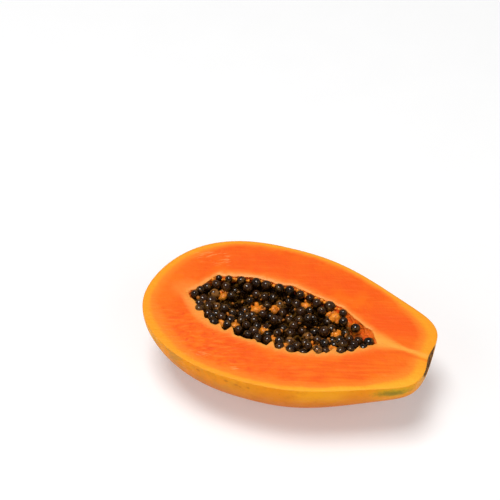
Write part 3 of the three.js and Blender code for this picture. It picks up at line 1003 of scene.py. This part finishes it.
def cut_flesh():
    """Wet orange flesh: yellow under the skin, red-orange in the middle, pale round the cavity."""
    f = Finish("cut_flesh")
    cloud = f.grain(f.place, 16, 4, 0.6)
    strands = f.grain(f.drawn_out((15, 1.2, 3), 14), 1, 3, 0.6)
    bent = f.vector("SCALE", f.grain(f.place, 24, 2, output=1), Scale=2.6)
    cuts = f.grain(f.vector("ADD", f.drawn_out((8, 2.2, 4), 22), bent), 1, 3, 0.5)
    near_side = f.step(f.y, -10, -26)
    marked = near_side * f.step(f.x, 60, 0) * (0.35 + 0.65 * f.step(f.x, -5, -30))

    flesh_shades(f, cloud)
    knife_strokes(f, cuts, marked, strands, near_side)
    yellow_band(f, f.kept("from_skin"), cloud, near_side)
    pale_border(f, f.kept("from_cavity"))
    pale_strand(f, strands)
    for spot, reach, turn in SCRATCHED:
        scratches = f.step(f.grain(f.drawn_out((6, 0.7, 2), turn), 1, 2), 0.54, 0.66)
        f.paint(0.5 * f.near(spot, reach, 0.5, 0.4) * scratches, 255, 182, 104)
    for spot in RED_SPOTS:
        f.paint(0.5 * f.near(spot, RED_REACH, 0.5, 0.6), 240, 60, 14)

    fibres = f.grain(f.drawn_out((16, 0.5, 3), 15), 1, 3, 0.7)
    normal = f.bump(f.grain(f.place, 5, 4, 0.6), 0.45)
    normal = f.bump(0.5 * strands + 0.9 * cuts * marked + 0.3 * fibres, 0.35, normal)
    return f.surface(
        Roughness=0.36 + 0.25 * cloud,
        Normal=normal,
        Specular_IOR_Level=0.24,
        Coat_Weight=0.05,
        Coat_Roughness=0.2,
        Subsurface_Weight=0.1,
        Subsurface_Radius=(1, 0.3, 0.1),
        Subsurface_Scale=0.002,
    )


def cavity_lining():
    """Fibrous lining of the cavity: pale at the rim, dark orange lower down, with the seeds' old sockets."""
    f = Finish("cavity_lining")
    down = CUT_Z - f.z + 1.6 * (f.grain(f.place, 4, 3, 0.6) - 0.5)
    f.colour = f.blend(f.step(down, 0.3, 1.8), tone(255, 146, 56), tone(255, 112, 24))
    f.paint(f.step(down, 2.5, 8), 230, 78, 0)
    fluff = f.grain(f.place, 2, 3, 0.6, output=1)
    wandering = f.vector("ADD", f.place, f.vector("SCALE", fluff, Scale=2))
    cells = {"Vector": wandering, "Scale": 1 / SOCKET_GAP}
    socket_edge = f.add("ShaderNodeTexVoronoi", {"feature": "DISTANCE_TO_EDGE"}, cells)
    ridge = f.step(socket_edge, 0.22, 0.04)
    f.paint(0.4 * ridge, 252, 118, 20)
    return f.surface(
        Roughness=0.55 - 0.15 * ridge,
        Normal=f.bump(ridge, 0.5),
        Specular_IOR_Level=0.3,
        Coat_Weight=0.08,
        Coat_Roughness=0.2,
        Subsurface_Weight=0.12,
        Subsurface_Radius=(1, 0.3, 0.1),
        Subsurface_Scale=0.003,
    )


def seed_skin():
    """Wet black to olive-brown seeds. Low tones paint shade on the deep ones: they are the darkest and shine
    least.
    """
    f = Finish("seed_skin")
    own = f.kept("tone")
    fine, blotch = f.grain(f.place, 1.2, 3, 0.6), f.grain(f.place, 3.2, 2)
    # Seeds of low tones, deep in the heap, get the darkest colour as painted shade; the others differ in tone
    # at random
    f.colour = f.blend(f.step(own, 0.3, 0.9), tone(18, 6, 1), tone(50, 24, 6))
    f.paint(0.75 * f.step(blotch, 0.52, 0.66), 96, 64, 20)
    f.paint(0.5 * f.step(fine, 0.54, 0.7), 128, 86, 38)
    film = f.step(own, 0.87, 0.93) * f.step(f.grain(f.place, 2.4, 2), 0.42, 0.6)
    f.paint(0.75 * film, 156, 102, 44)
    return f.surface(
        Roughness=0.5 + 0.25 * fine,
        Normal=f.bump(fine, 0.16),
        Specular_IOR_Level=0.0,
        Coat_IOR=1.5,
        Coat_Weight=f.step(own, 0.05, 0.25),
        Coat_Roughness=0.05,
    )


def bed_mass():
    """Wet mass of seeds and pulp deep between the seeds: dark as the seeds are, and near black as painted
    shade.
    """
    f = Finish("bed_mass")
    fine = f.grain(f.place, 2.2, 4, 0.65)
    # Painted shade: the mass is near black where it lies deep between the seeds
    f.colour = f.blend(f.step(fine, 0.5, 0.72), tone(26, 8, 1), tone(96, 50, 14))
    f.paint(0.8 * f.step(f.x, BARE_START - 4, BARE_START + 8), 190, 92, 20)
    return f.surface(
        Roughness=0.6 + 0.3 * fine,
        Normal=f.bump(fine, 1.2),
        Specular_IOR_Level=0.2,
    )


def soft_pulp():
    """Juicy, mottled yellow-orange pulp, with fine pale specks of painted highlight. The lower a shred's tone,
    the browner it is.
    """
    f = Finish("soft_pulp")
    own, fine = f.kept("tone"), f.grain(f.place, 1.4, 3, 0.6)
    f.colour = f.blend(f.step(own, 0.05, 0.55), tone(110, 72, 24), tone(252, 140, 26))
    # Painted highlight: fine pale specks, which stand in for glints on the wet pulp
    f.paint(0.5 * f.step(fine, 0.44, 0.64) * f.step(own, 0.2, 0.6), 255, 170, 58)
    f.paint(0.6 * f.step(f.grain(f.place, 2.4, 2), 0.5, 0.6), 184, 104, 28)
    return f.surface(
        Roughness=0.34 + 0.25 * fine,
        Normal=f.bump(fine, 0.5),
        Specular_IOR_Level=0.35,
        Coat_Weight=0.15,
        Coat_Roughness=0.15,
        Subsurface_Weight=0.15,
        Subsurface_Radius=(1, 0.4, 0.12),
        Subsurface_Scale=0.002,
    )


def pale_floor():
    """A wide plain floor, which glows faintly so that it stays pale all over."""
    f = Finish("pale_floor")
    paper = f.grain(f.place, 40, 3)
    f.colour = f.blend(paper, tone(232, 232, 232), tone(236, 236, 236))
    floor = bpy.data.objects.new("floor", bpy.data.meshes.new("floor"))
    corners = [(FLOOR_REACH * x, FLOOR_REACH * y, 0) for x, y in ((-1, -1), (1, -1), (1, 1), (-1, 1))]
    floor.data.from_pydata(corners, [], [(0, 1, 2, 3)])
    glow = {"Emission_Color": (1, 1, 1, 1), "Emission_Strength": FLOOR_GLOW}
    floor.data.materials.append(f.surface(Roughness=0.8, **glow))
    bpy.context.scene.collection.objects.link(floor)
    return floor


def set_camera():
    """The camera where the photo's stood, as worked out from the outline of the cut face."""
    data = bpy.data.cameras.new("view")
    data.lens, data.sensor_width = LENS, SENSOR_WIDTH
    camera = bpy.data.objects.new("view", data)
    camera.location = [part * MM for part in CAMERA_SPOT]
    camera.rotation_euler = (math.radians(90 - VIEW_ELEVATION), 0, math.radians(VIEW_AZIMUTH))
    bpy.context.scene.collection.objects.link(camera)
    bpy.context.scene.camera = camera


def soft_light(name, spot, size, power, mirrored):
    """A square soft light that shines on the fruit, and that wet things mirror or not."""
    data = bpy.data.lights.new(name, "AREA")
    data.size, data.energy = size, power
    light = bpy.data.objects.new(name, data)
    light.location, light.visible_glossy = spot, mirrored
    x, y, z = spot
    light.rotation_euler = (math.atan2(math.hypot(x, y), z), 0, math.atan2(x, -y))
    bpy.context.scene.collection.objects.link(light)


def set_light():
    """Soft studio light in a white world, and colours shown as they are."""
    world = bpy.data.worlds.new("studio")
    world.use_nodes = True
    world.node_tree.nodes["Background"].inputs["Color"].default_value = (1, 1, 1, 1)
    world.node_tree.nodes["Background"].inputs["Strength"].default_value = WORLD_STRENGTH
    bpy.context.scene.world = world
    for light in LIGHTS:
        soft_light(*light)
    bpy.context.scene.view_settings.view_transform = "Standard"


set_camera()
set_light()
pale_floor()

places = top_seeds()
fruit = fruit_body([ripe_skin(), cut_flesh(), cavity_lining()])

draw, pulp_finish = random_numbers(SHRED_DRAW), soft_pulp()
lobes = [*lobe_shreds(draw), *bare_wall_shreds(draw)]
shreds = [*loose_shreds(draw, places), *far_rim_shreds(draw)]
pulp = grains("pulp_lobes", PULP, PULP_LUMP_SIZE, lobes, 3, pulp_finish)
scraps = grains("pulp_scraps", PULP, PULP_LUMP_SIZE, shreds, 2, pulp_finish)

rows, seed_finish = heap_seeds(places), seed_skin()
shown = [row for row in rows if row[-1] >= SHOWN_TONE]
hidden = [row for row in rows if row[-1] < SHOWN_TONE]
seeds = grains("top_seeds", SEED, SEED_LUMP_SIZE, shown, 3, seed_finish)
lower_seeds = grains("lower_seeds", SEED, SEED_LUMP_SIZE, hidden, 2, seed_finish)
bed = seed_bed(bed_mass())
for piece, node, slot in (
    (fruit, "fruit_half", "flesh"),
    (pulp, "fruit_half", "flesh"),
    (scraps, "fruit_half", "flesh"),
    (seeds, "seeds", "seed"),
    (lower_seeds, "seeds", "seed"),
    (bed, "seeds", "seed"),
):
    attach(piece, "root")
    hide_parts(node)
